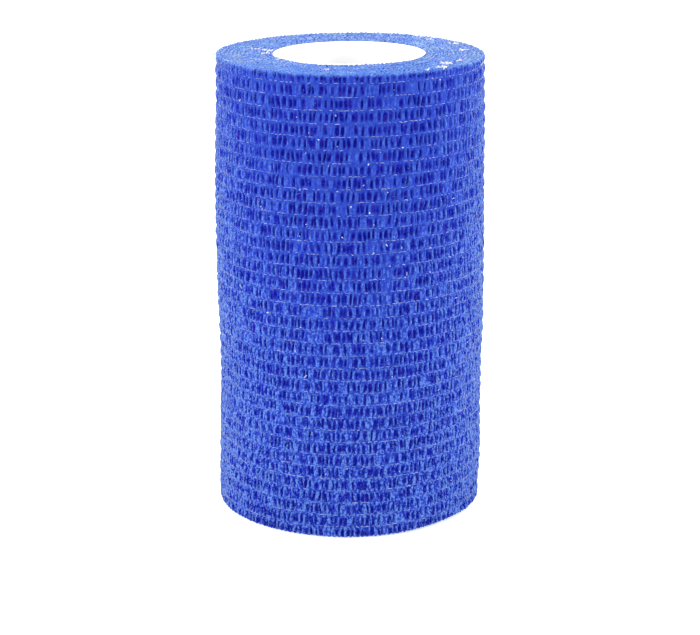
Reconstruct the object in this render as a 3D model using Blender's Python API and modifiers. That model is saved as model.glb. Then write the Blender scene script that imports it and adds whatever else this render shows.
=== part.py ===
"""Roll of cohesive bandage standing on its end, wound on a thin white core tube.

Metres, +Z up.  The origin is on the roll's axis, in the plane that it stands on.
The crinkled elastic strip is wound 15 turns, so the wound cloth is one solid: a thick ring
whose outer wall is a slow spiral that drops by one layer where the strip's loose end lies,
at the back.  Elastic threads draw the cloth in along 36 level lines, and it swells between them.
"""

import math

import bmesh
import bpy

# Driving dimensions
STRIP_WIDTH = 0.100          # width of the strip, and so height of the standing roll
ROLL_RADIUS = 0.0297         # axis to the outer face at the strip's loose end
BORE_RADIUS = 0.0165         # axis to the inner face of the first turn
TURNS = 15
LOOSE_END_ANGLE = math.radians(60.0)   # counterclockwise from +X, so at the back
LOOSE_END_RAMP = math.radians(1.2)     # the cut edge's slope, seen from above

THREAD_COUNT = 36
THREAD_PITCH = 0.002735
LOWEST_THREAD = 0.00242      # height of the first elastic thread above the lower edge
RIB_RISE = 0.0003            # how far the cloth swells out between two threads
RIB_SHOULDER = 0.3           # it has swollen fully this share of the way to the next thread

EDGE_INSET = 0.0006          # the outer turn's two edges are drawn in this far
EDGE_HEIGHT = 0.0006         # and over this height

CORE_GAP = 0.0003
CORE_WALL = 0.0011
CORE_RECESS = 0.0003         # the core's ends lie this far inside the strip's two edges

SIDES = 48

# Worked out from them
LAYER = (ROLL_RADIUS - BORE_RADIUS) / TURNS
CORE_OUTER = BORE_RADIUS - CORE_GAP
CORE_INNER = CORE_OUTER - CORE_WALL

CLOTH_BLUE = (0.045, 0.105, 0.62, 1.0)
CORE_WHITE = (0.88, 0.88, 0.87, 1.0)


def clear_scene():
    for obj in list(bpy.data.objects):
        bpy.data.objects.remove(obj, do_unlink=True)


def make_material(name, colour, roughness):
    material = bpy.data.materials.new(name)
    material.use_nodes = True
    shader = material.node_tree.nodes["Principled BSDF"]
    shader.inputs["Base Color"].default_value = colour
    shader.inputs["Roughness"].default_value = roughness
    shader.inputs["Metallic"].default_value = 0.0
    return material


def add_object(name, mesh, material, collection):
    obj = bpy.data.objects.new(name, mesh)
    mesh.materials.append(material)
    mesh.shade_smooth()
    mesh.set_sharp_from_angle(angle=math.radians(30.0))
    collection.objects.link(obj)
    return obj


def outer_wall():
    """(radius, height) down the ribbed outer side: drawn in at each thread, swollen between two."""
    swollen, drawn_in = ROLL_RADIUS, ROLL_RADIUS - RIB_RISE
    wall = []
    for thread in range(THREAD_COUNT - 1, 0, -1):
        height = LOWEST_THREAD + thread * THREAD_PITCH
        wall.append((drawn_in, height))
        wall.append((swollen, height - RIB_SHOULDER * THREAD_PITCH))
        wall.append((swollen, height - (1 - RIB_SHOULDER) * THREAD_PITCH))
    wall.append((drawn_in, LOWEST_THREAD))
    return wall


def cloth_profile():
    """The wound cloth's section as a closed outline: down the outer side, then up the bore."""
    return [
        (ROLL_RADIUS - EDGE_INSET, STRIP_WIDTH),
        (ROLL_RADIUS - RIB_RISE / 2, STRIP_WIDTH - EDGE_HEIGHT),
        *outer_wall(),
        (ROLL_RADIUS - RIB_RISE / 2, EDGE_HEIGHT),
        (ROLL_RADIUS - EDGE_INSET, 0.0),
        (BORE_RADIUS, 0.0),
        (BORE_RADIUS, STRIP_WIDTH),
    ]


def spiral_drop(turned):
    """How far the outer side lies inside ROLL_RADIUS, where turned is the angle past the loose end."""
    return LAYER * turned / (2 * math.pi)


def make_cloth_mesh():
    """The profile turned about Z into a closed ring, whose outer wall is then drawn into a spiral."""
    bm = bmesh.new()
    corners = [bm.verts.new((radius, 0.0, height)) for radius, height in cloth_profile()]
    edges = [bm.edges.new((a, b)) for a, b in zip(corners, corners[1:] + corners[:1])]
    bmesh.ops.spin(
        bm, geom=corners + edges, cent=(0, 0, 0), axis=(0, 0, 1),
        angle=2 * math.pi, steps=SIDES, use_merge=True, use_duplicate=False,
    )
    step = 2 * math.pi / SIDES
    middle = (ROLL_RADIUS + BORE_RADIUS) / 2
    for vert in bm.verts:
        radius = math.hypot(vert.co.x, vert.co.y)
        side = round(math.atan2(vert.co.y, vert.co.x) / step) % SIDES
        turned = side * step
        if radius > middle:
            if side == SIDES - 1:
                turned = 2 * math.pi - LOOSE_END_RAMP
            radius -= spiral_drop(turned)
        angle = LOOSE_END_ANGLE + turned
        vert.co.x = radius * math.cos(angle)
        vert.co.y = radius * math.sin(angle)
    bmesh.ops.recalc_face_normals(bm, faces=bm.faces)
    mesh = bpy.data.meshes.new("bandage_roll")
    bm.to_mesh(mesh)
    bm.free()
    return mesh


def make_core_profile():
    """Section of the core tube as a closed outline at +X, for a Screw modifier to turn."""
    low, high = CORE_RECESS, STRIP_WIDTH - CORE_RECESS
    outline = [(CORE_OUTER, high), (CORE_OUTER, low), (CORE_INNER, low), (CORE_INNER, high)]
    mesh = bpy.data.meshes.new("core_tube")
    points = [(radius, 0.0, height) for radius, height in outline]
    mesh.from_pydata(points, [(0, 1), (1, 2), (2, 3), (3, 0)], [])
    return mesh


def turn_about_z(obj):
    screw = obj.modifiers.new("turn", "SCREW")
    screw.axis = "Z"
    screw.steps = SIDES
    screw.render_steps = SIDES
    screw.use_merge_vertices = True
    screw.merge_threshold = 0.00005


def main():
    clear_scene()
    collection = bpy.data.collections.new("cohesive_bandage_roll")
    bpy.context.scene.collection.children.link(collection)
    cloth = make_material("crinkled_cloth", CLOTH_BLUE, 0.9)
    card = make_material("white_core", CORE_WHITE, 0.6)
    add_object("bandage_roll", make_cloth_mesh(), cloth, collection)
    core = add_object("core_tube", make_core_profile(), card, collection)
    turn_about_z(core)


main()
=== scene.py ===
"""Looks of the cohesive bandage roll: its wound strip, elastic threads, loose fibres and core."""

import math

import bmesh
import bpy
import numpy as np
from mathutils import Matrix, Vector


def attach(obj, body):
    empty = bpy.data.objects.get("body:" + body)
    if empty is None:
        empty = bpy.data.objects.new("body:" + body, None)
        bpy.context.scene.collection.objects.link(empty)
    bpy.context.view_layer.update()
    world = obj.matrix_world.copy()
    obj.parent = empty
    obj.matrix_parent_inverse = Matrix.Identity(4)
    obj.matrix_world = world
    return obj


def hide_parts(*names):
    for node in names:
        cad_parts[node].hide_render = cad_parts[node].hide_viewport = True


bl_info = {
    "name": "Cohesive bandage roll",
    "version": (1, 0, 0),
    "blender": (4, 5, 0),
    "location": "3D View > Sidebar > Bandage",
    "description": "Builds the crinkled cloth, elastic threads, fibres and core of a bandage roll",
    "category": "Object",
}

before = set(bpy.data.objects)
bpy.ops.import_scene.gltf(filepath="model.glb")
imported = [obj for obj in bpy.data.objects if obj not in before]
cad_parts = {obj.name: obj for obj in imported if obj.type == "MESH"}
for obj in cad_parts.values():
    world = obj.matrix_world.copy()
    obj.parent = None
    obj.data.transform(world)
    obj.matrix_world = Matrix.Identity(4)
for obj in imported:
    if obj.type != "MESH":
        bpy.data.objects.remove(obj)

MM = 0.001
TAU = 2 * math.pi


def mesh_points(mesh):
    """The vertices of a mesh, one row each."""
    flat = np.empty(len(mesh.vertices) * 3)
    mesh.vertices.foreach_get("co", flat)
    return flat.reshape(-1, 3)


# The roll's own sizes, measured on the frame
CLOTH_POINTS = mesh_points(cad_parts["bandage_roll"].data)
CORE_POINTS = mesh_points(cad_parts["core_tube"].data)
CLOTH_RADII = np.hypot(CLOTH_POINTS[:, 0], CLOTH_POINTS[:, 1])
CORE_RADII = np.hypot(CORE_POINTS[:, 0], CORE_POINTS[:, 1])
ROLL_RADIUS = float(CLOTH_RADII.max())
BORE_RADIUS = float(CLOTH_RADII.min())
LOOSE_END_POINT = CLOTH_POINTS[CLOTH_RADII.argmax()]
LOOSE_END_ANGLE = math.atan2(LOOSE_END_POINT[1], LOOSE_END_POINT[0])
STRIP_WIDTH = float(CLOTH_POINTS[:, 2].max())
CORE_INNER = float(CORE_RADII.min())
CORE_LOW = float(CORE_POINTS[:, 2].min())


class Seeds:
    """Seeds of the wavy lines and random draws; rows, bands and threads count on from theirs."""

    COVERED_TOP_SWING = 11
    COVERED_LOW_SWING = 13
    COVERED_TOP_LEVEL = 15
    RIM_SWING = 21
    RIM_LEVEL = 22
    RIM_FRAYING = 23
    THREADS = 71
    FIBRES = 91
    PUCKERS = 100
    LINT = 131
    FLUTTER = 400
    UPPER_EDGE = 500
    LOWER_EDGE = 520
    SHARED_SWAY = 600
    THREAD_SWAY = 610
    CALM = 700
    THREAD_COVER = 800


def a_length(name, description, default):
    """A size that a user may change."""
    return bpy.props.FloatProperty(name=name, description=description, default=default, unit="LENGTH")


def a_colour(name, description, default):
    """A colour that a user may change, given as (red, green, blue)."""
    return bpy.props.FloatVectorProperty(
        name=name, description=description, default=(*default, 1.0), size=4, subtype="COLOR")


class BandageSizes(bpy.types.PropertyGroup):
    """Sizes of the strip and of its threads, puckers and fibres."""

    turns: bpy.props.IntProperty(
        name="Turns", description="Layers of strip between the bore and the outer side", default=15)
    thread_count: bpy.props.IntProperty(
        name="Threads", description="Elastic threads across the strip", default=36)
    thread_pitch: a_length("Thread pitch", "Height from one elastic thread to the next", 2.735 * MM)
    lowest_thread: a_length("Lowest thread", "Height of the first thread above the lower edge", 2.42 * MM)
    thread_width: a_length("Thread width", "Thickness of one elastic thread", 0.185 * MM)
    rib_depth: a_length("Rib depth", "How far a thread draws the cloth in", 0.36 * MM)
    pucker_pitch: a_length("Pucker pitch", "Mean distance between two puckers of a band", 1.17 * MM)
    pucker_width: a_length("Pucker width", "Mean width of the hollow between two folds", 0.86 * MM)
    pucker_depth: a_length("Pucker depth", "Depth of the deepest hollows", 0.72 * MM)
    sway: a_length("Thread sway", "How far a thread wanders up and down along the strip", 0.16 * MM)
    ply: a_length("Ply", "Thickness of the crinkled strip at its edges", 0.8 * MM)
    edge_crinkle: a_length("Edge crinkle", "How far the strip's edges swing in and out", 0.2 * MM)
    edge_unevenness: a_length("Edge unevenness", "How far the strip's edges rise and fall", 0.18 * MM)
    fibre_length: a_length("Fibre length", "Length of a loose fibre, before it varies", 0.7 * MM)


class BandageColours(bpy.types.PropertyGroup):
    """Colours of the cloth, with its painted shade, highlights and sheen, and of the threads and the core.
    """

    fold: a_colour("Fold", "Cloth on the raised folds", (0.029, 0.066, 0.42))
    # Painted highlight on the crests and lips of the folds, and pale nap in the mottle
    nap_and_highlight: a_colour("Nap", "Where loose fibres stand up from the folds", (0.105, 0.205, 0.56))
    # Painted half shade halfway down a pucker, and darker blots of the mottle
    ground_and_half_shade: a_colour("Ground", "Cloth halfway down", (0.0165, 0.032, 0.365))
    # Painted shade at the bottom of a pucker, and between two turns
    hollow_shade: a_colour("Hollow", "Cloth at the bottom of a pucker", (0.0055, 0.0095, 0.275))
    # Painted sheen on the folds at the roll's two sides
    side_sheen: a_colour("Frost", "Silvery fibres on the folds at the roll's two sides", (0.34, 0.45, 0.66))
    violet: a_colour("Violet", "Tint in some of the puckers", (0.07, 0.03, 0.33))
    edge: a_colour("Edge", "Cut edges of the strip", (0.17, 0.335, 0.67))
    pale_edge: a_colour("Pale edge", "Palest places of the cut edges", (0.42, 0.56, 0.82))
    tinged_edge: a_colour("Tinged edge", "Lilac specks in the cut edges", (0.25, 0.27, 0.72))
    # Painted shade on the cut edges at the front of the roll's top
    front_edge_shade: a_colour("Front edge", "Deeper blue of the cut edges at the front", (0.02, 0.13, 0.62))
    thread: a_colour("Thread", "Elastic threads where the cloth's fibres cover them", (0.12, 0.19, 0.56))
    bare: a_colour("Bare", "Bare threads and the palest loose fibres", (0.55, 0.54, 0.78))
    lint: a_colour("Lint", "Specks and tufts of lint", (0.85, 0.82, 0.9))
    core: a_colour("Core", "Core tube", (0.97, 0.97, 0.97))
    core_cloud: a_colour("Core cloud", "Duller places of the core tube", (0.9, 0.9, 0.895))


def sizes():
    return bpy.context.scene.bandage_sizes


def colours():
    return bpy.context.scene.bandage_colours


# The strip's path

class Winding:
    """Where the strip lies: turned counts the angle wound inwards from its loose end."""

    def __init__(self):
        self.turns = sizes().turns
        self.layer = (ROLL_RADIUS - BORE_RADIUS) / self.turns
        self.first = ROLL_RADIUS - self.layer / 2

    def radius(self, turned):
        """Distance from the axis to the middle of the strip."""
        return self.first - self.layer * turned / TAU

    def along(self, turned):
        """Length of strip between the loose end and this place."""
        return self.first * turned - self.layer * turned ** 2 / (2 * TAU)

    def turned(self, along):
        """The angle wound at a length along the strip."""
        slope = self.layer / TAU
        return (self.first - np.sqrt(self.first ** 2 - 2 * slope * along)) / slope

    def place(self, turned, radius, height):
        """Points at these angles, distances from the axis and heights."""
        angle = LOOSE_END_ANGLE + turned
        return np.stack([radius * np.cos(angle), radius * np.sin(angle), height], axis=-1)


class Crinkle:
    """A seeded wavy line: it swings between -1 and 1 in uneven steps along the strip."""

    SHORTEST, LONGEST = 0.55, 1.45  # steps, in mean steps
    LEAST_SWING = 0.3
    SPARE_STEPS = 4

    def __init__(self, seed, length, step):
        random = np.random.default_rng(seed)
        count = int(length / (step * self.SHORTEST)) + self.SPARE_STEPS
        self.at = np.cumsum(step * random.uniform(self.SHORTEST, self.LONGEST, count)) - 2 * step
        swing = random.uniform(self.LEAST_SWING, 1.0, count)
        self.height = swing * np.where(np.arange(count) % 2, 1, -1)

    def __call__(self, along):
        after = np.clip(np.searchsorted(self.at, along), 1, len(self.at) - 1)
        share = np.clip((along - self.at[after - 1]) / (self.at[after] - self.at[after - 1]), 0, 1)
        eased = (1 - np.cos(np.pi * share)) / 2
        return self.height[after - 1] * (1 - eased) + self.height[after] * eased


# Where the wound cloth swells or sinks: angle in degrees from +X, height, how far round in degrees
# and how far up it reaches, and how much it stands out
SWELLS = (
    (0.0, 56 * MM, 45.0, 18 * MM, 0.45 * MM),
    (0.0, 84 * MM, 45.0, 11 * MM, 0.22 * MM),
    (0.0, 41 * MM, 40.0, 6 * MM, 0.2 * MM),
    (0.0, 12 * MM, 40.0, 5 * MM, 0.15 * MM),
    (-8.0, 2 * MM, 38.0, 5 * MM, -0.35 * MM),
    (195.0, 3 * MM, 34.0, 8 * MM, 0.34 * MM),
    (180.0, 95 * MM, 55.0, 14 * MM, -0.7 * MM),
    (180.0, 33 * MM, 48.0, 11 * MM, -0.42 * MM),
    (180.0, 100 * MM, 50.0, 1.8 * MM, -0.3 * MM),
)


def away_from(angle, turned):
    """Angle from a direction, given in degrees from +X, to a place on the strip: -pi to pi."""
    return (LOOSE_END_ANGLE + turned - math.radians(angle) + math.pi) % TAU - math.pi


def swelling(turned, height):
    """How far the outermost turn stands out at a place on the roll."""
    total = 0.0
    for angle, middle, reach_round, reach_up, amount in SWELLS:
        round_share = away_from(angle, turned) / math.radians(reach_round)
        near = round_share ** 2 + ((height - middle) / reach_up) ** 2
        total = total + amount * np.exp(-near)
    return total


def rise(value, low, high):
    """0 below low, 1 above high and a smooth step between them."""
    share = np.clip((value - low) / (high - low), 0, 1)
    return share * share * (3 - 2 * share)


def thread_height(number):
    """Height of a thread, or of a place between two, on a strip that lies straight."""
    return sizes().lowest_thread + number * sizes().thread_pitch


def thread_number(height):
    """The thread number at a height, with its fraction."""
    return (height - sizes().lowest_thread) / sizes().thread_pitch


class Sway:
    """How far the elastic threads, and the cloth with them, wander up and down along the strip."""

    SHARED_STEP = 26 * MM  # all threads wander together in steps of about this length
    OWN_STEP = 8 * MM  # and each by itself in shorter ones
    SHARED_SHARE = 0.6

    def __init__(self, length):
        count = sizes().thread_count
        self.last = count - 1
        self.shared = Crinkle(Seeds.SHARED_SWAY, length, self.SHARED_STEP)
        self.own = [Crinkle(Seeds.THREAD_SWAY + number, length, self.OWN_STEP) for number in range(count)]

    def __call__(self, height, along):
        """Rise or fall, along the strip, of a line that lies at this height on a straight strip."""
        number = min(max(thread_number(height), 0.0), self.last)
        below = min(int(number), self.last - 1)
        share = number - below
        own = self.own[below](along) * (1 - share) + self.own[below + 1](along) * share
        above_last = (STRIP_WIDTH - height) / (STRIP_WIDTH - thread_height(self.last))
        held = max(0.0, min(1.0, height / thread_height(0), above_last))
        wander = self.SHARED_SHARE * self.shared(along) + (1 - self.SHARED_SHARE) * own
        return sizes().sway * held * wander


# Meshes

MERGE_DISTANCE = 0.0001 * MM
SHARP_ANGLE = math.radians(80.0)


def finished_mesh(name, bm):
    """A mesh made from the bmesh, which is then freed."""
    mesh = bpy.data.meshes.new(name)
    bm.to_mesh(mesh)
    bm.free()
    return mesh


def strip_mesh(name, points, attributes):
    """A closed strip of cloth through points, given as (columns, rows, 3), with values at each point.

    The first and last row lie in one place and are joined, and the two ends are capped.
    """
    columns, rows = points.shape[0] - 1, points.shape[1] - 1
    bm = bmesh.new()
    bmesh.ops.create_grid(bm, x_segments=columns, y_segments=rows, size=1)
    mesh = bpy.data.meshes.new(name)
    bm.to_mesh(mesh)
    grid = mesh_points(mesh)
    column = np.rint((grid[:, 0] + 1) / 2 * columns).astype(int)
    row = np.rint((grid[:, 1] + 1) / 2 * rows).astype(int)
    mesh.vertices.foreach_set("co", points[column, row].astype(np.float32).ravel())
    for key, values in attributes.items():
        layer = mesh.attributes.new(key, "FLOAT", "POINT")
        layer.data.foreach_set("value", values[column, row].astype(np.float32))
    bm.clear()
    bm.from_mesh(mesh)
    bmesh.ops.remove_doubles(bm, verts=bm.verts, dist=MERGE_DISTANCE)
    bmesh.ops.holes_fill(bm, edges=[edge for edge in bm.edges if edge.is_boundary])
    bmesh.ops.recalc_face_normals(bm, faces=bm.faces)
    bm.to_mesh(mesh)
    bm.free()
    mesh.shade_smooth()
    mesh.set_sharp_from_angle(angle=SHARP_ANGLE)
    return mesh


def add_piece(name, mesh, material, replaces=None):
    """A finished piece of the roll, which may stand for a node of the frame."""
    piece = bpy.data.objects.new(name, mesh)
    bpy.context.scene.collection.objects.link(piece)
    mesh.materials.clear()
    mesh.materials.append(material)
    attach(piece, "root")
    if replaces:
        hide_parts(replaces)
    return piece


def arrayed(name, template, count):
    """count copies of a template mesh as one mesh, all in one place; the template is removed."""
    single = bpy.data.objects.new(name + "_single", template)
    bpy.context.scene.collection.objects.link(single)
    repeat = single.modifiers.new("repeat", "ARRAY")
    repeat.count = count
    repeat.use_relative_offset = False
    shown = single.evaluated_get(bpy.context.evaluated_depsgraph_get())
    mesh = bpy.data.meshes.new_from_object(shown)
    bpy.data.objects.remove(single)
    bpy.data.meshes.remove(template)
    return mesh


def rod_template(sides, lengths, taper):
    """A rod along X from 0 to 1, of unit radius, whose far end is narrowed to taper."""
    bm = bmesh.new()
    bmesh.ops.create_cone(
        bm, cap_ends=True, segments=sides, radius1=1.0, radius2=taper, depth=1.0)
    bmesh.ops.rotate(bm, verts=bm.verts, cent=(0, 0, 0), matrix=Matrix.Rotation(math.pi / 2, 3, "Y"))
    bmesh.ops.translate(bm, verts=bm.verts, vec=(0.5, 0, 0))
    for cut in range(1, lengths):
        bmesh.ops.bisect_plane(
            bm, geom=bm.verts[:] + bm.edges[:] + bm.faces[:],
            plane_co=(cut / lengths, 0, 0), plane_no=(1, 0, 0))
    bmesh.ops.recalc_face_normals(bm, faces=bm.faces)
    return finished_mesh("rod", bm)


# Materials

WHITE = (1.0, 1.0, 1.0, 1.0)


class Wire:
    """An output socket, so that shader maths is written as Python expressions."""

    def __init__(self, finish, socket):
        self.finish = finish
        self.socket = socket

    def _maths(self, operation, *values):
        return self.finish.node("ShaderNodeMath", {"operation": operation}, dict(enumerate(values)))

    def __add__(self, other):
        return self._maths("ADD", self, other)

    def __radd__(self, other):
        return self._maths("ADD", other, self)

    def __sub__(self, other):
        return self._maths("SUBTRACT", self, other)

    def __rsub__(self, other):
        return self._maths("SUBTRACT", other, self)

    def __mul__(self, other):
        return self._maths("MULTIPLY", self, other)

    def __rmul__(self, other):
        return self._maths("MULTIPLY", other, self)

    def above(self, low, high):
        """0 below low, 1 above high and a smooth step between them."""
        settings = {"interpolation_type": "SMOOTHSTEP"}
        return self.finish.node("ShaderNodeMapRange", settings, {0: self, 1: low, 2: high})


class Finish:
    """A material whose nodes are added one call at a time."""

    MIX_FACTOR, MIX_A, MIX_B, MIX_RESULT = 0, 6, 7, 2

    def __init__(self, name, roughness, sheen=0.0, sheen_tint=WHITE, specular=0.12):
        self.material = bpy.data.materials.new(name)
        self.material.use_nodes = True
        self.tree = self.material.node_tree
        self.shader = self.tree.nodes["Principled BSDF"]
        self.shader.inputs["Roughness"].default_value = roughness
        self.shader.inputs["Sheen Weight"].default_value = sheen
        self.shader.inputs["Sheen Tint"].default_value = sheen_tint
        self.shader.inputs["Specular IOR Level"].default_value = specular
        self.place = self.node("ShaderNodeTexCoord", output="Object")

    def node(self, kind, settings=None, inputs=None, output=0):
        """Adds a node, sets it, then fills its sockets with values or wires."""
        made = self.tree.nodes.new(kind)
        for key, value in (settings or {}).items():
            setattr(made, key, value)
        for key, value in (inputs or {}).items():
            if isinstance(value, Wire):
                self.tree.links.new(value.socket, made.inputs[key])
            else:
                made.inputs[key].default_value = value
        return Wire(self, made.outputs[output])

    def mix(self, factor, first, second):
        """The first colour where factor is 0, the second where it is 1."""
        return self.node(
            "ShaderNodeMix", {"data_type": "RGBA"},
            {self.MIX_FACTOR: factor, self.MIX_A: first, self.MIX_B: second}, self.MIX_RESULT)

    def noise(self, width, detail=2.0, upright=1.0):
        """Cloudy pattern whose blots are about this wide, and upright times as tall."""
        stretch = (1.0, 1.0, 1 / upright)
        place = self.node("ShaderNodeVectorMath", {"operation": "MULTIPLY"}, {0: self.place, 1: stretch})
        return self.node(
            "ShaderNodeTexNoise", None, {"Vector": place, "Scale": 1 / width, "Detail": detail})

    def coordinate(self, axis):
        """The object's own X, Y or Z, in metres."""
        return self.node("ShaderNodeSeparateXYZ", None, {0: self.place}, output=axis)

    def attribute(self, name):
        return self.node("ShaderNodeAttribute", {"attribute_name": name}, output="Fac")

    def bump(self, height, distance, strength):
        return self.node(
            "ShaderNodeBump", None, {"Height": height, "Distance": distance, "Strength": strength})

    def feed(self, **wires):
        """Links wires to the shader's sockets, with _ for a space in their names."""
        for key, wire in wires.items():
            self.tree.links.new(wire.socket, self.shader.inputs[key.replace("_", " ")])
        return self.material


# Patterns in the cloth: how wide a blot is, how many times as tall, its detail, and the two values
# of the noise between which the pattern comes in
CLOTH_PATTERNS = {
    "streaks": (0.44 * MM, 2.1, 1.0, 0.38, 0.62),
    "grain": (0.42 * MM, 1.0, 1.5, 0.38, 0.62),
    "blots": (2.6 * MM, 1.0, 3.0, 0.35, 0.65),
    "side_sheen": (0.3 * MM, 1.0, 1.0, 0.46, 0.7),
    "violet": (0.5 * MM, 1.0, 0.0, 0.58, 0.72),
    "speckle": (0.38 * MM, 1.0, 2.0, 0.32, 0.68),
    "tinge": (0.36 * MM, 1.0, 0.0, 0.5, 0.7),
}
FIBRE_GRAIN = 0.09 * MM
CLOTH_SHEEN = (0.78, 0.92, 0.52, 1.0)
CLOTH_SHEEN_ROUGHNESS = 0.2

# Depths in the cloth between which one colour passes into the next, from the painted highlight on the
# crests down to the painted shade in the hollows
NAP_AND_HIGHLIGHT_TO_FOLD = (-0.65, 0.05)
FOLD_TO_HALF_SHADE = (-0.1, 0.35)
HALF_SHADE_TO_HOLLOW_SHADE = (0.25, 0.75)
NO_VIOLET_TO_VIOLET = (0.15, 0.5)

# Weights in the cloth's looks, as (everywhere, added towards the foot and the two sides, where light is
# painted)
STREAK_WEIGHT = (0.2, 0.54)
GRAIN_WEIGHT = (0.06, 0.66)
LIP_HIGHLIGHT_WEIGHT = (0.3, 0.2)
BUMP_WEIGHT = (0.3, 0.7)
EDGE_BUMP = 0.6  # added on the cut edges
BLOT_WEIGHT = 0.08
PAINTED_LIGHT_MEAN = 0.4  # painted light: cloth further than this towards the foot or the sides is coloured as if it lay higher
PAINTED_LIGHT_WEIGHT = 0.16
LIGHT_AND_TEXTURE_SIDES = 0.3  # how much more of the painted light and texture the roll's two sides get
LIGHT_AND_TEXTURE_ZONE = (0.0, 1.3)
FRONT_ZONE = (0.3, 0.8)  # in roll radii towards the front
FRONT_CALM = 0.6  # share of the edges' speckle that is missing at the front
PALEST = (1.1, 1.9)  # where speckle and blots together make an edge palest

# How much of each colour is laid over the others where it is strongest
SIDE_SHEEN_COVER = 0.4
VIOLET_COVER = 0.5
PALE_EDGE_COVER = 0.5
TINGED_EDGE_COVER = 0.35
FRONT_EDGE_SHADE_COVER = 0.35


def cloth_patterns(finish):
    """The cloth's patterns by name, each from 0 to 1."""
    patterns = {}
    for name, (width, upright, detail, low, high) in CLOTH_PATTERNS.items():
        patterns[name] = finish.noise(width, detail, upright).above(low, high)
    return patterns


def weight(painted_light_and_texture, smooth, added):
    """A weight that grows towards the foot of the roll and its two sides, with the painted light."""
    return smooth + painted_light_and_texture * added


def face_colour(finish, pattern, painted_light_and_texture, far_side):
    """Colour of the puckered face by its depth: painted shade in the hollows, painted highlights on the
    crests and lips and painted sheen at the roll's two sides; lighter, by painted light, and more mottled
    towards the foot and the sides.
    """
    look = colours()
    streaks = (pattern["streaks"] - 0.5) * weight(painted_light_and_texture, *STREAK_WEIGHT)
    grain = (pattern["grain"] - 0.5) * weight(painted_light_and_texture, *GRAIN_WEIGHT)
    # Random blots, and painted light that makes the cloth lighter towards the foot and the two sides
    blots_and_painted_light = (pattern["blots"] - 0.5) * BLOT_WEIGHT + (PAINTED_LIGHT_MEAN - painted_light_and_texture) * PAINTED_LIGHT_WEIGHT
    # Painted highlight on the lips beside the puckers
    raised = finish.attribute("lip") * weight(painted_light_and_texture, *LIP_HIGHLIGHT_WEIGHT)
    depth = finish.attribute("hollow_shade") - raised + (streaks + grain) + blots_and_painted_light
    # Painted highlight where the cloth lies highest, with pale nap in the mottle
    napped_and_highlighted = finish.mix(depth.above(*NAP_AND_HIGHLIGHT_TO_FOLD), look.nap_and_highlight, look.fold)
    # Painted sheen on the folds at the roll's two sides
    side_sheened = finish.mix(pattern["side_sheen"] * far_side * SIDE_SHEEN_COVER, napped_and_highlighted, look.side_sheen)
    # Painted half shade, then painted shade deeper down the puckers
    half_shaded = finish.mix(depth.above(*FOLD_TO_HALF_SHADE), side_sheened, look.ground_and_half_shade)
    sunk = finish.mix(depth.above(*HALF_SHADE_TO_HOLLOW_SHADE), half_shaded, look.hollow_shade)
    violet = pattern["violet"] * depth.above(*NO_VIOLET_TO_VIOLET)
    return finish.mix(violet * VIOLET_COVER, sunk, look.violet)


def edge_colour(finish, pattern):
    """Colour of the cut edges: speckled, and calmer and a darker blue at the front, where shade is
    painted.
    """
    look = colours()
    front = (finish.coordinate("Y") * (-1 / ROLL_RADIUS)).above(*FRONT_ZONE)
    speckle = (pattern["speckle"] - 0.5) * (1 - front * FRONT_CALM) + 0.5
    worn = finish.mix(speckle, look.fold, look.edge)
    palest = (speckle + pattern["blots"]).above(*PALEST)
    paled = finish.mix(palest * PALE_EDGE_COVER, worn, look.pale_edge)
    tinged = finish.mix(pattern["tinge"] * TINGED_EDGE_COVER, paled, look.tinged_edge)
    # Painted shade on the cut edges at the front
    return finish.mix(front * FRONT_EDGE_SHADE_COVER, tinged, look.front_edge_shade)


def cloth_finish():
    """Crinkled blue nonwoven, paler on its cut edges, with painted shade in its hollows and painted
    highlights on its folds.

    Painted light makes it lighter, and its texture stronger, towards the foot of the roll and its two
    sides, where a painted sheen lies too; the cut edges at the front get painted shade.
    """
    finish = Finish(
        "crinkled_nonwoven", roughness=0.95, sheen=1.0, sheen_tint=CLOTH_SHEEN, specular=0.0)
    finish.shader.inputs["Sheen Roughness"].default_value = CLOTH_SHEEN_ROUGHNESS
    pattern = cloth_patterns(finish)
    edge = finish.attribute("edge")
    height = finish.coordinate("Z") * (1 / STRIP_WIDTH)
    sideways = finish.coordinate("X") * (1 / ROLL_RADIUS)
    towards_side = sideways * sideways
    far_side = towards_side * towards_side
    # Painted light and stronger texture grow towards the foot of the roll and its two sides
    toward_foot_and_sides = 1 - height + towards_side * LIGHT_AND_TEXTURE_SIDES + far_side * LIGHT_AND_TEXTURE_SIDES
    painted_light_and_texture = toward_foot_and_sides.above(*LIGHT_AND_TEXTURE_ZONE)
    face = face_colour(finish, pattern, painted_light_and_texture, far_side)
    coloured = finish.mix(edge, face, edge_colour(finish, pattern))
    fibres = finish.noise(FIBRE_GRAIN) + pattern["grain"] + pattern["streaks"]
    rough = fibres * (weight(painted_light_and_texture, *BUMP_WEIGHT) + edge * EDGE_BUMP)
    return finish.feed(
        Base_Color=coloured, Normal=finish.bump(rough, distance=0.06 * MM, strength=0.6))


def thread_finish():
    """Elastic threads, from the blue of the fibres over them to a bare pale lilac."""
    look = colours()
    finish = Finish("elastic_thread", roughness=0.6)
    grain = finish.noise(0.25 * MM)
    colour = finish.mix(finish.attribute("paleness"), look.thread, look.bare)
    dull = finish.mix(grain.above(0.45, 0.7) * 0.5, colour, look.fold)
    return finish.feed(Base_Color=dull, Normal=finish.bump(grain, distance=0.03 * MM, strength=0.4))


def core_finish():
    """Smooth matt white tube."""
    look = colours()
    finish = Finish("smooth_white", roughness=0.5)
    cloud = finish.noise(6 * MM, detail=3.0).above(0.3, 0.7)
    shade = finish.mix(cloud * 0.5, look.core, look.core_cloud)
    bump = finish.bump(finish.noise(0.25 * MM), distance=0.02 * MM, strength=0.3)
    return finish.feed(Base_Color=shade, Normal=bump)


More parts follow.
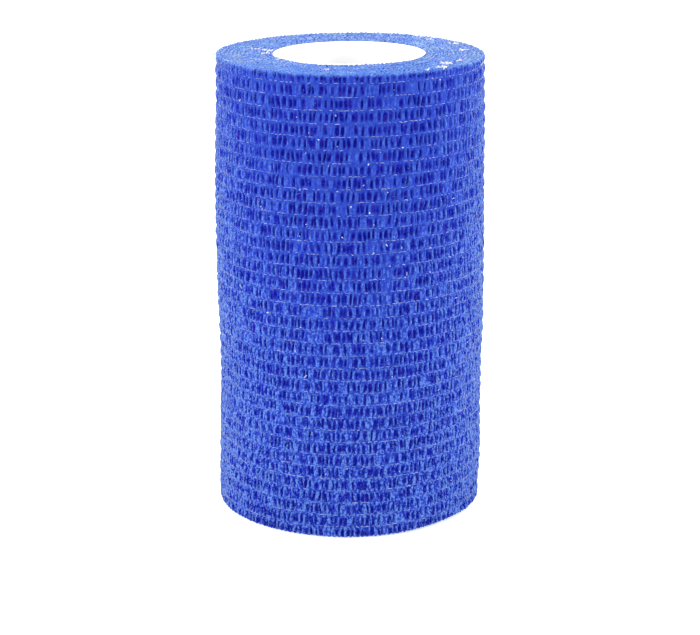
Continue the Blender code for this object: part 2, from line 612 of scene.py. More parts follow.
def fibre_finish():
    """Loose fibres, a little paler than the cloth or bare."""
    look = colours()
    finish = Finish("loose_fibre", roughness=0.8, sheen=0.1, sheen_tint=(0.8, 0.85, 1.0, 1.0))
    colour = finish.mix(finish.attribute("paleness"), look.edge, look.bare)
    return finish.feed(Base_Color=finish.mix(finish.noise(0.2 * MM) * 0.3, colour, look.fold))


def lint_finish():
    """Nearly white lint, duller where the cloth's own fibres hold it."""
    look = colours()
    finish = Finish("lint_flecks", roughness=0.8, sheen=0.2)
    colour = finish.mix(finish.attribute("paleness"), look.thread, look.lint)
    bump = finish.bump(finish.noise(0.1 * MM), distance=0.05 * MM, strength=0.5)
    return finish.feed(Base_Color=colour, Normal=bump)


def shared_cloth():
    """The cloth's material, made once and then shared by all turns."""
    return bpy.data.materials.get("crinkled_nonwoven") or cloth_finish()


# The covered turns

# The rounded section of a covered turn, as (side in half plies, distance in from the edge)
UPPER_EDGE = ((0.6, 1.5 * MM), (1.0, 0.1 * MM), (0.0, 0.0), (-1.0, 0.1 * MM), (-0.6, 1.5 * MM))
LOWER_EDGE = ((-0.7, 0.5 * MM), (0.0, 0.0), (0.7, 0.5 * MM))
COVERED_COLUMNS = 6600
EDGE_STEP = 0.55 * MM  # mean step of an edge's swings in and out
UNEVEN_STEP = 0.5 * MM  # and of its rise and fall
LEVEL_STEP = 9 * MM
LEVEL_RISE = 0.09 * MM  # how far the top of the roll rises and falls in longer steps
LOOSE_EDGE = (0.3 * MM, 1.2 * MM)  # the swings die out between these distances from the edge
SHADE_REACH = 0.6 * MM  # the shade between two turns grows by 1 over this depth, until it is full
CUT_REACH = 0.9 * MM  # the paleness of the cut edge ends this far down
LEAST_SHADE = 0.2
REST_GAP = 0.02 * MM  # the lower edge stays this far above the floor

# Where the roll's upper rim stands higher or lower: angle in degrees, how far round, and how much
RIM_LIFTS = ((200.0, 40.0, 0.36 * MM), (4.0, 28.0, -0.22 * MM))
RIM_ZONE = (0.84 * ROLL_RADIUS, 0.98 * ROLL_RADIUS)


def rim_lift(turned, radius):
    """How much higher the upper edge stands at a place on the roll's top."""
    lift = 0.0
    for angle, reach_round, amount in RIM_LIFTS:
        lift = lift + amount * np.exp(-(away_from(angle, turned) / math.radians(reach_round)) ** 2)
    return lift * rise(radius, *RIM_ZONE)


class CoveredTurns:
    """The section of the covered turns, drawn row by row along a stretch of the strip."""

    def __init__(self, along):
        self.along = along
        self.winding = Winding()
        self.length = self.winding.along(self.winding.turns * TAU)
        self.turned = self.winding.turned(along)
        self.middle = self.winding.radius(self.turned)
        self.rows = []

    def wave(self, seed, step):
        """A wavy line's values along the stretch."""
        return Crinkle(seed, self.length, step)(self.along)

    def add_row(self, side, swing, height, inwards):
        """A row at this side in half plies and this distance inwards from the cut edge."""
        radius = np.maximum(self.middle + side * sizes().ply / 2 + swing, BORE_RADIUS)
        # Painted shade, deeper further down between two turns
        shade = LEAST_SHADE + min(1 - LEAST_SHADE, inwards / SHADE_REACH)
        pale = max(0.0, 1 - inwards / CUT_REACH)
        points = self.winding.place(self.turned, radius, height)
        self.rows.append((points, np.full_like(self.along, shade), np.full_like(self.along, pale)))

    def shape(self):
        """Points and attributes of all rows, with the first one again at the end."""
        points, hollow_shade, edge = (np.stack(values, 1) for values in zip(*self.rows, self.rows[0]))
        return points, {"hollow_shade": hollow_shade, "edge": edge}


def covered_shape(along):
    """Points and attributes of the covered turns along their length."""
    size, turns = sizes(), CoveredTurns(along)
    swing_top = turns.wave(Seeds.COVERED_TOP_SWING, EDGE_STEP) * size.edge_crinkle
    swing_low = turns.wave(Seeds.COVERED_LOW_SWING, EDGE_STEP) * size.edge_crinkle
    wavy = turns.wave(Seeds.COVERED_TOP_LEVEL, LEVEL_STEP) * LEVEL_RISE
    level = STRIP_WIDTH + wavy + rim_lift(turns.turned, turns.middle)
    for row, (side, inwards) in enumerate(UPPER_EDGE):
        uneven = turns.wave(Seeds.UPPER_EDGE + row, UNEVEN_STEP) * size.edge_unevenness
        loose = 1 - rise(inwards, *LOOSE_EDGE)
        turns.add_row(side, swing_top * loose, level + uneven * loose - inwards, inwards)
    for row, (side, inwards) in enumerate(LOWER_EDGE):
        uneven = (1 + turns.wave(Seeds.LOWER_EDGE + row, UNEVEN_STEP)) * size.edge_unevenness
        turns.add_row(side, swing_low, REST_GAP + uneven + inwards, inwards)
    return turns.shape()


class BANDAGE_OT_covered_turns(bpy.types.Operator):
    """Add the turns that lie under the outermost one, with their crinkled edges."""

    bl_idname = "bandage.covered_turns"
    bl_label = "Covered turns"

    PARTS = ("outer", "inner")

    def execute(self, context):
        winding = Winding()
        cloth = shared_cloth()
        borders = np.linspace(winding.along(TAU), winding.along(winding.turns * TAU), len(self.PARTS) + 1)
        for part, low, high in zip(self.PARTS, borders, borders[1:]):
            name = "covered_turns_" + part
            mesh = strip_mesh(name, *covered_shape(np.linspace(low, high, COVERED_COLUMNS + 1)))
            piece = add_piece(name, mesh, cloth, "bandage_roll")
        return {"FINISHED"}


# The outermost turn

BAND_SHARES = (0.0, 0.13, 0.36, 0.64, 0.87)  # places of the rows between two threads
OUTER_COLUMNS = 1360
BACK_INSET = 1.05 * MM  # how far inside its face the back of the turn lies

# Rows over the strip's edges, from the face to the back: distance from the edge, set in from the
# face, share of the face's relief, share of the edge's crinkle, and how pale the cut edge is there
UPPER_ROWS = (
    (0.85 * MM, 0.0, 0.9, 0.0, 0.0), (0.5 * MM, 0.03 * MM, 0.7, 0.3, 0.12),
    (0.25 * MM, 0.1 * MM, 0.45, 0.7, 0.5), (0.06 * MM, 0.26 * MM, 0.2, 1.0, 0.95),
    (0.0, 0.46 * MM, 0.0, 1.0, 1.0), (0.08 * MM, 0.68 * MM, 0.0, 1.0, 1.0),
    (0.45 * MM, 0.8 * MM, 0.0, 0.6, 0.4), (1.3 * MM, BACK_INSET, 0.0, 0.0, 0.0),
)
LOWER_ROWS = (
    (0.85 * MM, 0.0, 1.0, 0.0, 0.0), (0.5 * MM, 0.0, 1.0, 0.3, 0.0),
    (0.22 * MM, 0.03 * MM, 0.8, 0.6, 0.1), (0.06 * MM, 0.1 * MM, 0.5, 0.8, 0.4),
    (0.0, 0.3 * MM, 0.1, 0.8, 0.7), (0.08 * MM, 0.6 * MM, 0.0, 0.8, 0.6),
    (0.45 * MM, 0.8 * MM, 0.0, 0.5, 0.2), (1.3 * MM, BACK_INSET, 0.0, 0.0, 0.0),
)
EDGE_CLEARANCE = 0.25 * MM  # the face's own rows stay this far from the rows over an edge
EDGE_ZONE = 2.5 * MM  # lifts of an edge die out this far from it

LIFTED_EDGE_ANGLE = math.radians(-45.0)
LIFTED_EDGE = 0.47 * MM  # the lower edge is drawn up this far towards that angle
LIFT_FOCUS = 10  # the higher, the shorter the stretch that is drawn up
LIFTED_WHOLE = 0.3 * MM  # the lowest part of the edge, which is drawn up by the whole lift

CUT_END_THINNING = 0.34 * MM
CUT_END_REACH = 0.9 * MM
CUT_END_PALENESS = 0.7
FRAY_STEP = 1.3 * MM  # mean step at which the upper edge's pale fringe reaches down


class Puckers:
    """The hollows of one band: seeded places, widths, depths, slants and bows."""

    SHORTEST_MEAN_GAP = 0.6  # gaps between puckers, in pitches
    GAP_LOGARITHM = (-0.03, 0.2)  # mean and spread
    GAP_LIMITS = (0.68, 1.9)
    CLOSER_BELOW = 0.06  # in the lowest band the gaps are shorter by this share
    WIDTHS = (0.6, 1.35)  # in mean widths
    NEARLY_SHUT_SHARE = 0.1  # this share of the puckers is nearly shut
    NEARLY_SHUT_DEPTH = 0.15  # depths, in greatest depths
    LEAST_DEPTH = 0.6
    CALM_STEP = 7 * MM  # stretches of calmer and of rougher cloth
    CALM_MEAN = 0.92
    CALM_SWING = (0.08, 0.32)  # in the lowest and in the highest band
    CALM_LIMITS = (0.35, 1.0)
    SLANT = 0.27  # spread of the slants, in millimetres across the band
    BOW = 0.27  # greatest bow, in millimetres
    ODD_BOWS = 0.25  # bows alternate, but for this share of them
    LOW_TIPS = (0.02, 0.2)  # where a pucker begins and ends, in shares of the band
    HIGH_TIPS = (0.8, 0.98)
    LIPS = (0.04, 0.16)  # height of the folds beside a pucker, in millimetres

    TIP_WIDTH = 0.4  # width at its tips, in widths at its middle
    WALL = (0.25, 1.25)  # where its wall begins and ends, in half widths
    LIP_PLACE = 1.3  # where its lips are highest, in half widths
    LIP_WIDTH = 0.17 * MM

    def __init__(self, band, length):
        size = sizes()
        random = np.random.default_rng(Seeds.PUCKERS + band)
        upwards = max(0, band) / size.thread_count
        count = int(length / (self.SHORTEST_MEAN_GAP * size.pucker_pitch)) + Crinkle.SPARE_STEPS
        gaps = size.pucker_pitch * np.clip(random.lognormal(*self.GAP_LOGARITHM, count), *self.GAP_LIMITS)
        self.at = np.cumsum(gaps * (1 - self.CLOSER_BELOW * (1 - upwards))) - size.pucker_pitch
        self.width = size.pucker_width * random.uniform(*self.WIDTHS, count)
        strength = random.uniform(0.0, 1.0, count)
        shut = strength < self.NEARLY_SHUT_SHARE
        open_depth = self.LEAST_DEPTH + (1 - self.LEAST_DEPTH) * strength
        depth = np.where(shut, self.NEARLY_SHUT_DEPTH, open_depth) * self.calmed(band, upwards, length)
        self.depth = depth * size.pucker_depth
        self.slant = random.normal(0.0, self.SLANT, count) * MM
        odd = np.where(random.random(count) < self.ODD_BOWS, -1, 1)
        bow_side = np.where(np.arange(count) % 2, 1, -1) * odd
        self.bow = bow_side * random.uniform(0.0, self.BOW, count) * MM
        self.low = random.uniform(*self.LOW_TIPS, count)
        self.high = random.uniform(*self.HIGH_TIPS, count)
        self.lip = random.uniform(*self.LIPS, count) * MM

    def calmed(self, band, upwards, length):
        """Share of its depth that each pucker keeps in calmer and in rougher stretches."""
        least, most = self.CALM_SWING
        swing = least + (most - least) * upwards
        calm = Crinkle(Seeds.CALM + band, length, self.CALM_STEP)(self.at)
        return np.clip(self.CALM_MEAN + swing * calm, *self.CALM_LIMITS)

    def __call__(self, along, share):
        """(depth of the hollow, rise of its lips) at places along the strip, this share up the band."""
        nearest = np.searchsorted((self.at[1:] + self.at[:-1]) / 2, along)
        sunk = np.zeros_like(along)
        lifted = np.zeros_like(along)
        upwards = share - 0.5
        for step in (-1, 0, 1):
            k = np.clip(nearest + step, 0, len(self.at) - 1)
            middle = self.at[k] + self.slant[k] * upwards + self.bow[k] * (1 - 4 * upwards ** 2)
            away = np.abs(along - middle)
            inside = np.clip((share - self.low[k]) / (self.high[k] - self.low[k]), 0, 1)
            lens = np.sqrt(np.sin(np.pi * inside).clip(0, 1))
            half = self.width[k] / 2 * (self.TIP_WIDTH + (1 - self.TIP_WIDTH) * lens)
            wall = 1 - rise(away, self.WALL[0] * half, self.WALL[1] * half)
            sunk = np.maximum(sunk, self.depth[k] * lens * wall)
            lip = np.exp(-((away - self.LIP_PLACE * half) / self.LIP_WIDTH) ** 2)
            lifted = np.maximum(lifted, self.lip[k] * lens * lip)
        return sunk, lifted


class OuterFace:
    """The outermost turn's face: ribs between the threads, with puckers across them."""

    FULL_LIP = 0.16 * MM  # a lip of this height gets the full painted highlight of one
    RIB_POWER = 3.2  # the higher, the flatter a rib between its two threads
    FLUTTER_POWER = 3
    FLUTTER_STEP = 2.3 * MM
    FLUTTER = 0.07 * MM  # how far a rib swings in and out along the strip
    ON_THREAD = 0.001  # a place this near below a thread, in bands, counts as on it

    def __init__(self, along):
        size = sizes()
        self.along = along
        self.winding = Winding()
        self.length = self.winding.along(TAU)
        self.sway = Sway(self.length)
        self.turned = self.winding.turned(along)
        self.outer = self.winding.radius(self.turned) + self.winding.layer / 2
        self.rim_swing = self.wave(Seeds.RIM_SWING, EDGE_STEP) * size.edge_crinkle
        self.rim_uneven = self.wave(Seeds.RIM_LEVEL, UNEVEN_STEP) * size.edge_unevenness

    def wave(self, seed, step):
        """A wavy line's values along the face."""
        return Crinkle(seed, self.length, step)(self.along)

    def crest(self, height):
        """Distance from the axis to the tops of the folds."""
        return self.outer + swelling(self.turned, height)

    def relief(self, height):
        """At a height, depth below the folds' crests, and how sunk and how lifted it is, 0 to 1."""
        number = thread_number(height)
        band = math.floor(number + self.ON_THREAD)
        share = max(0.0, number - band)
        sunk, lifted = Puckers(band, self.length)(self.along, share)
        from_middle = abs(2 * share - 1)
        rib = sizes().rib_depth * from_middle ** self.RIB_POWER
        flutter = self.wave(Seeds.FLUTTER + band, self.FLUTTER_STEP) * self.FLUTTER
        flutter = flutter * (1 - from_middle ** self.FLUTTER_POWER)
        sunk_share = sunk / sizes().pucker_depth
        lifted = lifted * (1 - sunk_share)
        return sunk + rib - lifted - flutter, sunk_share, lifted / self.FULL_LIP


def outer_rows(bottom, top):
    """Rows round one part of the outermost turn, between two heights.

    Each is (height, inset, relief, crinkle, paleness). They go up the face, over the upper edge or
    straight to the back, and the part is closed from its last row to its first.
    """
    edge_reach = UPPER_ROWS[0][0] + EDGE_CLEARANCE
    low, high = max(bottom, edge_reach), min(top, STRIP_WIDTH - edge_reach)
    numbers = [band + share for band in range(-1, sizes().thread_count) for share in BAND_SHARES]
    heights = sorted({bottom, top, *(thread_height(number) for number in numbers)})
    face = [(height, 0.0, 1.0, 0.0, 0.0) for height in heights if low <= height <= high]
    below = [(bottom, BACK_INSET, 0.0, 0.0, 0.0)]
    above = [(top, BACK_INSET, 0.0, 0.0, 0.0)]
    if bottom <= 0.0:
        below = [(REST_GAP + inwards, *rest) for inwards, *rest in reversed(LOWER_ROWS)]
    if top >= STRIP_WIDTH:
        above = [(STRIP_WIDTH - inwards, *rest) for inwards, *rest in UPPER_ROWS]
    return below + face + above


def outer_shape(along, rows):
    """Points and attributes of one part of the outermost turn."""
    size, face = sizes(), OuterFace(along)
    at_cut_end = 1 - rise(along, 0.0, CUT_END_REACH)
    facing = np.cos(LOOSE_END_ANGLE + face.turned - LIFTED_EDGE_ANGLE).clip(0, 1) ** LIFT_FOCUS
    frayed = face.wave(Seeds.RIM_FRAYING, FRAY_STEP)
    made = []
    for height, inset, relief, crinkle, paleness in rows:
        depth, sunk, lifted = face.relief(height)
        thinned = inset + at_cut_end * CUT_END_THINNING * (1 - 2 * inset / BACK_INSET)
        radius = face.crest(height) - depth * relief - thinned + face.rim_swing * crinkle
        lower = 1.0 if height < STRIP_WIDTH / 2 else 0.0
        uneven = (face.rim_uneven + lower * size.edge_unevenness) * crinkle
        drawn_up = LIFTED_EDGE * facing * (1 - rise(height, LIFTED_WHOLE, EDGE_ZONE))
        raised = rim_lift(face.turned, face.outer) * rise(height, STRIP_WIDTH - EDGE_ZONE, STRIP_WIDTH)
        level = height + face.sway(height, along) + uneven + drawn_up + raised
        points = face.winding.place(face.turned, radius, level)
        # Painted shade in the puckers' hollows, and on the turn's back where it lies against the turn
        # under it
        hollow_shade = sunk * relief + inset / BACK_INSET * (1 - paleness)
        fringe = frayed * crinkle * (1 - paleness) * (1 - lower)
        edge = np.clip(paleness + fringe + at_cut_end * CUT_END_PALENESS, 0, 1)
        made.append((points, hollow_shade, lifted * relief, edge))
    points, *values = (np.stack(parts, 1) for parts in zip(*made, made[0]))
    return points, dict(zip(("hollow_shade", "lip", "edge"), values))


class BANDAGE_OT_outer_turn(bpy.types.Operator):
    """Add the outermost turn, ribbed by its threads and puckered between them."""

    bl_idname = "bandage.outer_turn"
    bl_label = "Outermost turn"

    PARTS = ("low", "middle", "high")

    def execute(self, context):
        length = Winding().along(TAU)
        along = np.linspace(0.0, length, OUTER_COLUMNS + 1)
        cloth = shared_cloth()
        last = sizes().thread_count - 1
        bands = [last * part // len(self.PARTS) for part in range(1, len(self.PARTS))]
        borders = [0.0, *(thread_height(band + 0.5) for band in bands), STRIP_WIDTH]
        for part, bottom, top in zip(self.PARTS, borders, borders[1:]):
            name = "outer_turn_" + part
            mesh = strip_mesh(name, *outer_shape(along, outer_rows(bottom, top)))
            piece = add_piece(name, mesh, cloth, "bandage_roll")
            top - bottom
        return {"FINISHED"}


# Threads, fibres and flecks

ROD_LENGTHS = 3  # straight lengths in each bent rod
NO_LENGTH = 1e-9  # keeps the sideways direction of an upright length a finite number


def strewn_rods(name, sides, taper, centre_lines, thickness, paleness, material):
    """Rods laid along centre lines, given as (rods, lengths + 1, 3) points."""
    count, lengths = centre_lines.shape[0], centre_lines.shape[1] - 1
    template = rod_template(sides, lengths, taper)
    local = np.repeat(mesh_points(template)[None], count, axis=0)
    mesh = arrayed(name, template, count)
    along = local[:, :, 0] * lengths
    before = np.clip(np.floor(along).astype(int), 0, lengths - 1)
    rod = np.arange(count)[:, None]
    start, end = centre_lines[rod, before], centre_lines[rod, before + 1]
    middle = start + (end - start) * (along - before)[..., None]
    heading = (end - start) / np.linalg.norm(end - start, axis=-1, keepdims=True)
    outwards = np.cross(heading, (0.0, 0.0, 1.0))
    outwards /= np.linalg.norm(outwards, axis=-1, keepdims=True) + NO_LENGTH
    upwards = np.cross(outwards, heading)
    half = (thickness / 2)[:, None, None]
    points = middle + (local[:, :, 1:2] * outwards + local[:, :, 2:3] * upwards) * half
    mesh.vertices.foreach_set("co", points.astype(np.float32).ravel())
    layer = mesh.attributes.new("paleness", "FLOAT", "POINT")
    layer.data.foreach_set("value", np.repeat(paleness, local.shape[1]).astype(np.float32))
    mesh.shade_smooth()
    return add_piece(name, mesh, material)


class BANDAGE_OT_elastic_threads(bpy.types.Operator):
    """Add the elastic threads, which show as short arched stitches between the puckers."""

    bl_idname = "bandage.elastic_threads"
    bl_label = "Elastic threads"

    SIDES, TAPER = 3, 1.0
    END_MARGIN = 0.5 * MM  # no stitch has its middle nearer than this to the turn's ends
    COVER_STEP = 5 * MM  # stretches in which the cloth covers more or fewer stitches
    SHOWN = 0.8  # mean share of the stitches that show
    SHOWN_SWING = 0.25
    HALF_LENGTHS = (0.22, 0.55)  # in millimetres, as the next three
    ARCHES = (0.0, 0.16)
    SLOPE = 0.06
    LIFTS = (-0.06, 0.08)
    BULGE = 0.12 * MM  # a stitch's middle stands out this much further than its ends
    SUNK = 0.03 * MM
    PALENESS = (1.0, 1.4)  # the two shape values of a beta distribution
    THICKNESS = (0.75, 1.3)  # in mean thicknesses

    def stitch_places(self, random, thread, length):
        """Places of a thread's stitches along the strip, each between two puckers."""
        at = Puckers(thread - 1, length).at
        at = at[(at > self.END_MARGIN) & (at < length - self.END_MARGIN)]
        cover = Crinkle(Seeds.THREAD_COVER + thread, length, self.COVER_STEP)(at)
        return at[random.random(len(at)) < self.SHOWN - self.SHOWN_SWING * cover]

    def stitches(self, random, thread, at):
        """Centre lines of a thread's stitches."""
        count = (len(at), 1)
        half = random.uniform(*self.HALF_LENGTHS, count) * MM
        arch = random.uniform(*self.ARCHES, count) * MM
        slope = random.normal(0.0, self.SLOPE, count) * MM
        lift = random.uniform(*self.LIFTS, count) * MM
        shares = np.linspace(-1, 1, ROD_LENGTHS + 1)
        bent = 1 - shares ** 2
        along = (at[:, None] + half * shares).ravel()
        face = OuterFace(along)
        height = thread_height(thread)
        radius = face.crest(height) - sizes().rib_depth - self.SUNK
        level = height + face.sway(height, along)
        radius, level, turned = (values.reshape(len(at), -1) for values in (radius, level, face.turned))
        radius = radius + lift + self.BULGE * bent
        level = level + arch * bent + slope * shares
        return face.winding.place(turned, radius, level)

    def execute(self, context):
        length = Winding().along(TAU)
        random = np.random.default_rng(Seeds.THREADS)
        lines, paleness = [], []
        for thread in range(sizes().thread_count):
            at = self.stitch_places(random, thread, length)
            lines.append(self.stitches(random, thread, at))
            paleness.append(random.beta(*self.PALENESS, len(at)))
        lines, paleness = np.concatenate(lines), np.concatenate(paleness)
        thickness = sizes().thread_width * random.uniform(*self.THICKNESS, len(lines))
        strewn_rods("elastic_threads", self.SIDES, self.TAPER, lines, thickness, paleness, thread_finish())
        return {"FINISHED"}


FACE_MARGIN = 1 * MM  # fibres and lint on the face stay this far from the strip's edges
CURL = 0.45  # spread of a fibre's curl, in its own lengths


def fibre_lines(random, root, lean, reach):
    """Centre lines of curved fibres from their roots, leaning one way and curling another."""
    shares = np.linspace(0, 1, ROD_LENGTHS + 1)[None, :, None]
    curl = random.normal(0.0, CURL, root.shape)[:, None, :]
    lean = lean / np.linalg.norm(lean, axis=-1, keepdims=True)
    return root[:, None, :] + (lean[:, None, :] * shares + curl * shares ** 2) * reach[:, None, None]


def lying_lean(random, count, steepest):
    """Directions to all sides, which rise by up to this much."""
    lean = random.normal(0.0, 1.0, (count, 3))
    lean[:, 2] = random.uniform(0.0, steepest, count)
    return lean


def edge_roots(random, count, level, spread):
    """Places at random along the edges of all turns, at one height."""
    winding = Winding()
    turned = winding.turned(random.uniform(0, winding.along(winding.turns * TAU), count))
    radius = winding.radius(turned) + random.uniform(-spread, spread, count)
    return winding.place(turned, radius, np.full(count, level))


def face_roots(random, count, sunk):
    """(places, outward directions) at random on the outermost turn's face."""
    winding = Winding()
    face = OuterFace(random.uniform(0, winding.along(TAU), count))
    height = random.uniform(FACE_MARGIN, STRIP_WIDTH - FACE_MARGIN, count)
    root = winding.place(face.turned, face.crest(height) - sunk, height)
    return root, winding.place(face.turned, np.ones(count), np.zeros(count))


class BANDAGE_OT_loose_fibres(bpy.types.Operator):
    """Add the loose fibres that stand out of the strip's edges and face."""

    bl_idname = "bandage.loose_fibres"
    bl_label = "Loose fibres"

    SIDES, TAPER = 3, 0.5
    # Fibres on the edges of all turns: how many, their roots' height, and how steeply they rise
    EDGES = ((2400, STRIP_WIDTH - 0.1 * MM, 0.6), (600, 0.1 * MM, 0.18))
    EDGE_SPREAD = 0.3 * MM
    FACE_COUNT, FACE_SUNK = 1300, 0.15 * MM
    FACE_OUTWARDS = (0.1, 0.6)  # how far a fibre leans outwards
    FACE_SCATTER = 0.6  # and how far to any side
    RIM_COUNT, RIM_SUNK = 1000, 0.25 * MM
    RIM_BELOW = (0.0, 0.5)  # roots below the upper edge, in millimetres
    RIM_OUTWARDS, RIM_SCATTER, RIM_DROOP = 0.2, 0.5, 0.5
    RIM_LENGTH, RIM_PALENESS = 0.5, 0.25  # in those of the other fibres
    REACHES = (0.4, 1.2)  # in fibre lengths
    LOWEST = 0.03 * MM
    THICKNESS = (0.03, 0.055)  # in millimetres
    PALENESS = (1.2, 2.4)  # the two shape values of a beta distribution

    def roots_and_leans(self, random):
        """Roots and directions of all fibres, with those of the upper rim last."""
        for count, level, steepest in self.EDGES:
            yield edge_roots(random, count, level, self.EDGE_SPREAD), lying_lean(random, count, steepest)
        root, outward = face_roots(random, self.FACE_COUNT, self.FACE_SUNK)
        lean = outward * random.uniform(*self.FACE_OUTWARDS, (self.FACE_COUNT, 1))
        yield root, lean + random.normal(0.0, self.FACE_SCATTER, root.shape)
        root, outward = face_roots(random, self.RIM_COUNT, self.RIM_SUNK)
        root[:, 2] = STRIP_WIDTH - random.uniform(*self.RIM_BELOW, self.RIM_COUNT) * MM
        lean = outward * self.RIM_OUTWARDS + random.normal(0.0, self.RIM_SCATTER, root.shape)
        lean[:, 2] -= self.RIM_DROOP
        yield root, lean

    def execute(self, context):
        random = np.random.default_rng(Seeds.FIBRES)
        root, lean = (np.concatenate(parts) for parts in zip(*self.roots_and_leans(random)))
        reach = sizes().fibre_length * random.uniform(*self.REACHES, len(root))
        reach[-self.RIM_COUNT:] *= self.RIM_LENGTH
        lines = fibre_lines(random, root, lean, reach)
        lines[..., 2] = np.clip(lines[..., 2], self.LOWEST, None)
        thickness = random.uniform(*self.THICKNESS, len(root)) * MM
        paleness = random.beta(*self.PALENESS, len(root))
        paleness[-self.RIM_COUNT:] *= self.RIM_PALENESS
        strewn_rods("loose_fibres", self.SIDES, self.TAPER, lines, thickness, paleness, fibre_finish())
        return {"FINISHED"}


# Tufts of pale lint on the top: angle in degrees from +X, distance from the axis, spread and count
LINT_TUFTS = (
    (25.0, 26.0 * MM, 0.5 * MM, 14), (4.0, 24.9 * MM, 0.6 * MM, 18), (-29.0, 26.1 * MM, 0.6 * MM, 6),
    (-38.0, 25.5 * MM, 0.6 * MM, 24), (-47.0, 28.2 * MM, 0.5 * MM, 18), (-56.0, 28.4 * MM, 0.3 * MM, 6),
    (45.0, 25.0 * MM, 0.4 * MM, 5), (165.0, 20.5 * MM, 0.5 * MM, 8), (172.0, 18.0 * MM, 0.6 * MM, 12),
    (184.0, 18.0 * MM, 0.5 * MM, 10), (-148.0, 17.4 * MM, 0.4 * MM, 6), (-102.0, 23.4 * MM, 0.4 * MM, 8),
)


class BANDAGE_OT_lint(bpy.types.Operator):
    """Add the specks of lint on the face and the tufts of it on the top."""

    bl_idname = "bandage.lint"
    bl_label = "Lint"

    SIDES, TAPER = 5, 0.6
    REACHES = (0.15, 0.5)  # in millimetres
    FACE_COUNT, FACE_SUNK = 230, 0.1 * MM
    FACE_OUTWARDS, FACE_SCATTER = 0.3, 0.6
    FACE_THICKNESS = (0.12, 0.34)  # in millimetres
    FACE_PALENESS = (0.25, 0.85)
    TUFT_STEEPEST = 0.4
    TUFT_LEVEL = STRIP_WIDTH + 0.08 * MM
    TUFT_THICKNESS = (0.18, 0.46)  # in millimetres
    TUFT_PALENESS = (0.7, 1.0)
    RIM_MARGIN = 1 * MM

    def specks(self, random):
        """Lines, thickness and paleness of the specks on the face."""
        root, outward = face_roots(random, self.FACE_COUNT, self.FACE_SUNK)
        reach = random.uniform(*self.REACHES, self.FACE_COUNT) * MM
        lean = outward * self.FACE_OUTWARDS + random.normal(0.0, self.FACE_SCATTER, root.shape)
        lines = fibre_lines(random, root, lean, reach)
        thickness = random.uniform(*self.FACE_THICKNESS, self.FACE_COUNT) * MM
        return lines, thickness, random.uniform(*self.FACE_PALENESS, self.FACE_COUNT)

    def tuft(self, random, angle, distance, spread, count):
        """Lines, thickness and paleness of one tuft on the top."""
        around = math.radians(angle) + random.normal(0.0, spread / distance, count)
        away = distance + random.normal(0.0, spread, count)
        away = np.clip(away, BORE_RADIUS, ROLL_RADIUS - self.RIM_MARGIN)
        level = np.full(count, self.TUFT_LEVEL)
        root = np.stack([away * np.cos(around), away * np.sin(around), level], axis=-1)
        lean = lying_lean(random, count, self.TUFT_STEEPEST)
        lines = fibre_lines(random, root, lean, random.uniform(*self.REACHES, count) * MM)
        thickness = random.uniform(*self.TUFT_THICKNESS, count) * MM
        return lines, thickness, random.uniform(*self.TUFT_PALENESS, count)

    def execute(self, context):
        random = np.random.default_rng(Seeds.LINT)
        parts = [self.specks(random), *(self.tuft(random, *tuft) for tuft in LINT_TUFTS)]
        lines, thickness, paleness = (np.concatenate(values) for values in zip(*parts))
        strewn_rods("lint", self.SIDES, self.TAPER, lines, thickness, paleness, lint_finish())
        return {"FINISHED"}


# The core

CORE_CHAMFER = 0.2 * MM
CHAMFER_SEGMENTS = 3
CORE_SEGMENTS = 128
CORE_FIT = 0.03 * MM  # the strip is wound tight on the core and ends this far beyond it


class BANDAGE_OT_core(bpy.types.Operator):
    """Add the thin white tube that the strip is wound on."""

    bl_idname = "bandage.core"
    bl_label = "Core tube"

    def execute(self, context):
        bm = bmesh.new()
        outer, low, high = BORE_RADIUS - CORE_FIT, CORE_LOW, STRIP_WIDTH - CORE_FIT
        corners = ((outer, high), (outer, low), (CORE_INNER, low), (CORE_INNER, high))
        ring = [bm.verts.new((radius, 0.0, height)) for radius, height in corners]
        bm.faces.new(ring)
        bmesh.ops.bevel(
            bm, geom=ring, offset=CORE_CHAMFER, segments=CHAMFER_SEGMENTS, profile=0.5,
            affect="VERTICES", material=-1)
        bmesh.ops.delete(bm, geom=bm.faces[:], context="FACES_ONLY")
        bmesh.ops.spin(
            bm, geom=bm.verts[:] + bm.edges[:], cent=(0, 0, 0), axis=(0, 0, 1),
            angle=TAU, steps=CORE_SEGMENTS, use_merge=True, use_duplicate=False)
        bmesh.ops.recalc_face_normals(bm, faces=bm.faces)
        mesh = finished_mesh("core", bm)
        mesh.shade_smooth()
        add_piece("core", mesh, core_finish(), "core_tube")
        return {"FINISHED"}


# Stage

CAMERA_PLACE = (-0.12 * MM, -436.5 * MM, 168.6 * MM)
CAMERA_PITCH = math.radians(16.32)
CAMERA_ROLL = math.radians(-0.28)
CAMERA_LENS_MM = 105.1
FLOOR_RADIUS = 12.0
FLOOR_SEGMENTS = 96
PAPER_GLOW = 0.5  # the paper is lit from behind, as for a cut-out product photo
PAPER_SHADES = ((0.9, 0.9, 0.9, 1.0), (0.93, 0.93, 0.93, 1.0))
PAPER_CLOUD = 150 * MM
WORLD_STRENGTH = 0.7

# Soft lamps: place, diameter and power
LAMPS = {
    "left_lamp": ((-0.75, -0.25, 0.4), 0.5, 4.4),
    "right_lamp": ((0.8, -0.15, 0.4), 0.5, 4.4),
    "top_lamp": ((0.0, 0.1, 0.9), 0.5, 5.5),
}


def stage_finish():
    """Matt near-white paper."""
    finish = Finish("studio_paper", roughness=0.9)
    finish.shader.inputs["Emission Color"].default_value = WHITE
    finish.shader.inputs["Emission Strength"].default_value = PAPER_GLOW
    return finish.feed(Base_Color=finish.mix(finish.noise(PAPER_CLOUD), *PAPER_SHADES))


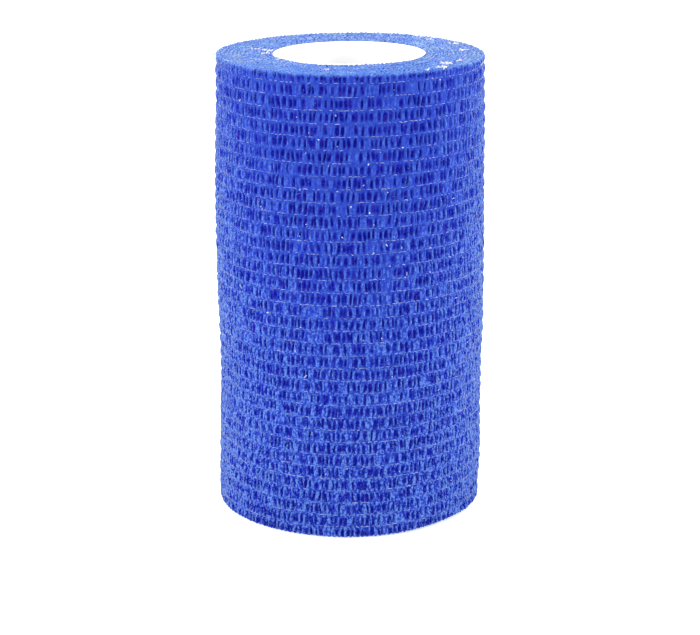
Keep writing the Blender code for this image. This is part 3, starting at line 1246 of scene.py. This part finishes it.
def add_area_light(name, place, size, power):
    """A soft round lamp, turned towards the middle of the roll."""
    light = bpy.data.lights.new(name, "AREA")
    light.shape = "DISK"
    light.size = size
    light.energy = power
    holder = bpy.data.objects.new(name, light)
    holder.location = place
    towards = -(holder.location - Vector((0.0, 0.0, STRIP_WIDTH / 2)))
    holder.rotation_euler = towards.to_track_quat("-Z", "Y").to_euler()
    bpy.context.scene.collection.objects.link(holder)


class BANDAGE_OT_stage(bpy.types.Operator):
    """Add the pale floor, the soft lights and the camera."""

    bl_idname = "bandage.stage"
    bl_label = "Stage"

    def execute(self, context):
        scene = context.scene
        bm = bmesh.new()
        bmesh.ops.create_circle(bm, cap_ends=True, segments=FLOOR_SEGMENTS, radius=FLOOR_RADIUS)
        mesh = finished_mesh("floor", bm)
        mesh.materials.append(stage_finish())
        floor = bpy.data.objects.new("floor", mesh)
        scene.collection.objects.link(floor)
        world = bpy.data.worlds.new("studio")
        world.use_nodes = True
        background = world.node_tree.nodes["Background"]
        background.inputs["Color"].default_value = WHITE
        background.inputs["Strength"].default_value = WORLD_STRENGTH
        scene.world = world
        for name, (place, size, power) in LAMPS.items():
            add_area_light(name, place, size, power)
        camera = bpy.data.cameras.new("camera")
        camera.lens = CAMERA_LENS_MM
        holder = bpy.data.objects.new("camera", camera)
        holder.location = CAMERA_PLACE
        holder.rotation_mode = "ZYX"
        holder.rotation_euler = (math.pi / 2 - CAMERA_PITCH, 0.0, CAMERA_ROLL)
        scene.collection.objects.link(holder)
        scene.camera = holder
        scene.view_settings.view_transform = "Standard"
        return {"FINISHED"}


class BANDAGE_PT_roll(bpy.types.Panel):
    """Lists the steps that build the roll, with its sizes and colours."""

    bl_label = "Bandage roll"
    bl_idname = "BANDAGE_PT_roll"
    bl_space_type = "VIEW_3D"
    bl_region_type = "UI"
    bl_category = "Bandage"

    def draw(self, context):
        for step in STEPS:
            self.layout.operator(step.bl_idname)
        for group in (context.scene.bandage_sizes, context.scene.bandage_colours):
            for key in group.bl_rna.properties.keys():
                if key not in {"rna_type", "name"}:
                    self.layout.prop(group, key)


STEPS = (
    BANDAGE_OT_covered_turns,
    BANDAGE_OT_outer_turn,
    BANDAGE_OT_elastic_threads,
    BANDAGE_OT_loose_fibres,
    BANDAGE_OT_lint,
    BANDAGE_OT_core,
    BANDAGE_OT_stage,
)
CLASSES = (BandageSizes, BandageColours, *STEPS, BANDAGE_PT_roll)


def register():
    for cls in CLASSES:
        bpy.utils.register_class(cls)
    bpy.types.Scene.bandage_sizes = bpy.props.PointerProperty(type=BandageSizes)
    bpy.types.Scene.bandage_colours = bpy.props.PointerProperty(type=BandageColours)


def unregister():
    del bpy.types.Scene.bandage_colours
    del bpy.types.Scene.bandage_sizes
    for cls in reversed(CLASSES):
        bpy.utils.unregister_class(cls)


def main():
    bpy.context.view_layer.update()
    register()
    bpy.ops.bandage.covered_turns()
    bpy.ops.bandage.outer_turn()
    bpy.ops.bandage.elastic_threads()
    bpy.ops.bandage.loose_fibres()
    bpy.ops.bandage.lint()
    bpy.ops.bandage.core()
    bpy.ops.bandage.stage()


if __name__ == "__main__":
    main()
